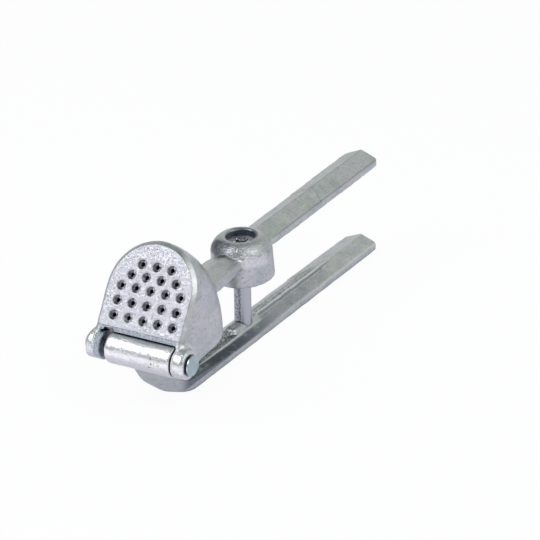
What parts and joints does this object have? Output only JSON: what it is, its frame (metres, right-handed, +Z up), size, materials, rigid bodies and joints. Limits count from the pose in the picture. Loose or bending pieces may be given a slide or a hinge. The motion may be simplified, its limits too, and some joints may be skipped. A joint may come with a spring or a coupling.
{
  "type": "garlic press with olive and cherry pitter",
  "caption": "Two cast aluminium levers on one riveted pin: a hopper with a perforated plate at the hinge, and a post under a domed pitting cup.",
  "frame": {"origin": "on the flat of the lower arm's keel that the press rests on, straight below the pitting post's axis", "axes": "+X along the hinge pin towards its head, +Y from the hinge to the handle ends, +Z up through the post"},
  "size_m": [0.0423, 0.1754, 0.0578],
  "materials": {
    "casting": "satin",
    "pin_steel": "satin",
    "post_metal": "satin"
  },
  "bodies": {
    "lower": {"lower_lever": "casting", "pitting_post": "post_metal"},
    "upper": {"upper_lever": "casting", "hinge_pin": "pin_steel"}
  },
  "joints": [
    {"name": "hinge", "type": "hinge", "parent": "lower", "child": "upper", "pos_m": [0, -0.0696, 0.02315], "axis": [1, 0, 0], "range_deg": [0, 145]}
  ]
}
